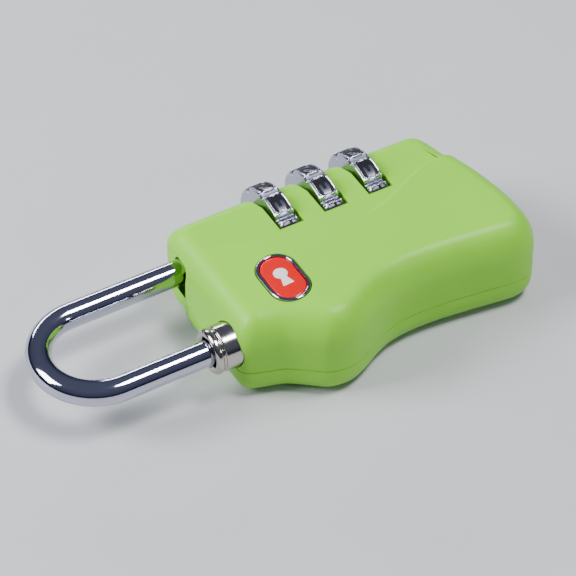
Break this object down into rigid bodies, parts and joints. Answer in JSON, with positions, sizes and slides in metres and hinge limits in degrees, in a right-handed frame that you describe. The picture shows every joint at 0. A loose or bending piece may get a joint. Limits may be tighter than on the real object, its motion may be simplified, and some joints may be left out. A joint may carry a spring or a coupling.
{
  "type": "luggage combination padlock",
  "caption": "Small three-dial luggage padlock with a green plastic body, a chromed U shackle, a collar round one leg and a key cylinder in the end.",
  "frame": {"origin": "on the flat back face, at the middle of the body's length and halfway between the two shackle legs", "axes": "+X from the shackle to the key end, +Y towards the dials, +Z out of the front face"},
  "size_m": [0.0687, 0.031, 0.0143],
  "materials": {
    "green_abs": "satin lime green moulded ABS",
    "chrome": "bright polished chrome plate",
    "nickel": "polished nickel plate, slightly warm",
    "zinc": "bare die-cast zinc",
    "spring_steel": "bare spring steel",
    "brass": "machined brass",
    "red_enamel": "glossy red enamel"
  },
  "bodies": {
    "lock_body": {"front_cover": "green_abs", "back_cover": "green_abs", "mechanism_frame": "zinc", "badge_rim": "chrome", "badge_inlay": "red_enamel", "key_housing": "brass", "cover_screw_1": "spring_steel", "cover_screw_2": "spring_steel", "cover_screw_3": "spring_steel", "detent_spring_1": "spring_steel", "detent_spring_2": "spring_steel", "detent_spring_3": "spring_steel", "sleeve_spring_1": "spring_steel", "sleeve_spring_2": "spring_steel", "sleeve_spring_3": "spring_steel", "collar_spring": "spring_steel", "shackle_spring": "spring_steel"},
    "shackle_body": {"shackle": "chrome", "shackle_stop_clip": "spring_steel"},
    "collar_body": {"shackle_collar": "nickel", "collar_slider": "zinc"},
    "key_body": {"key_plug": "nickel", "wafer_1": "brass", "wafer_2": "brass", "wafer_3": "brass", "wafer_4": "brass", "wafer_5": "brass", "plug_clip": "spring_steel", "key_cam": "zinc", "cam_screw": "spring_steel"},
    "dial_body_1": {"dial_1": "chrome", "dial_sleeve_1": "brass"},
    "dial_body_2": {"dial_2": "chrome", "dial_sleeve_2": "brass"},
    "dial_body_3": {"dial_3": "chrome", "dial_sleeve_3": "brass"}
  },
  "joints": [
    {"name": "shackle_pull", "type": "slide", "parent": "lock_body", "child": "shackle_body", "axis": [-1, 0, 0], "range_m": [0, 0.0042], "deforming": ["shackle_spring"]},
    {"name": "dial_1_spin", "type": "hinge", "parent": "lock_body", "child": "dial_body_1", "pos_m": [-0.00615, 0.00745, 0.0072], "axis": [1, 0, 0], "continuous": true},
    {"name": "dial_2_spin", "type": "hinge", "parent": "lock_body", "child": "dial_body_2", "pos_m": [0.00065, 0.00745, 0.0072], "axis": [1, 0, 0], "continuous": true},
    {"name": "dial_3_spin", "type": "hinge", "parent": "lock_body", "child": "dial_body_3", "pos_m": [0.00745, 0.00745, 0.0072], "axis": [1, 0, 0], "continuous": true},
    {"name": "key_turn", "type": "hinge", "parent": "lock_body", "child": "key_body", "pos_m": [0.0219, -0.00745, 0.0072], "axis": [1, 0, 0], "range_deg": [0, 90]},
    {"name": "collar_retract", "type": "slide", "parent": "lock_body", "child": "collar_body", "axis": [1, 0, 0], "range_m": [0, 0.0039], "deforming": ["collar_spring"]}
  ],
  "couplings": [
    {"joint": "key_turn", "follows": "collar_retract", "rad_per_m": 402.77}
  ]
}
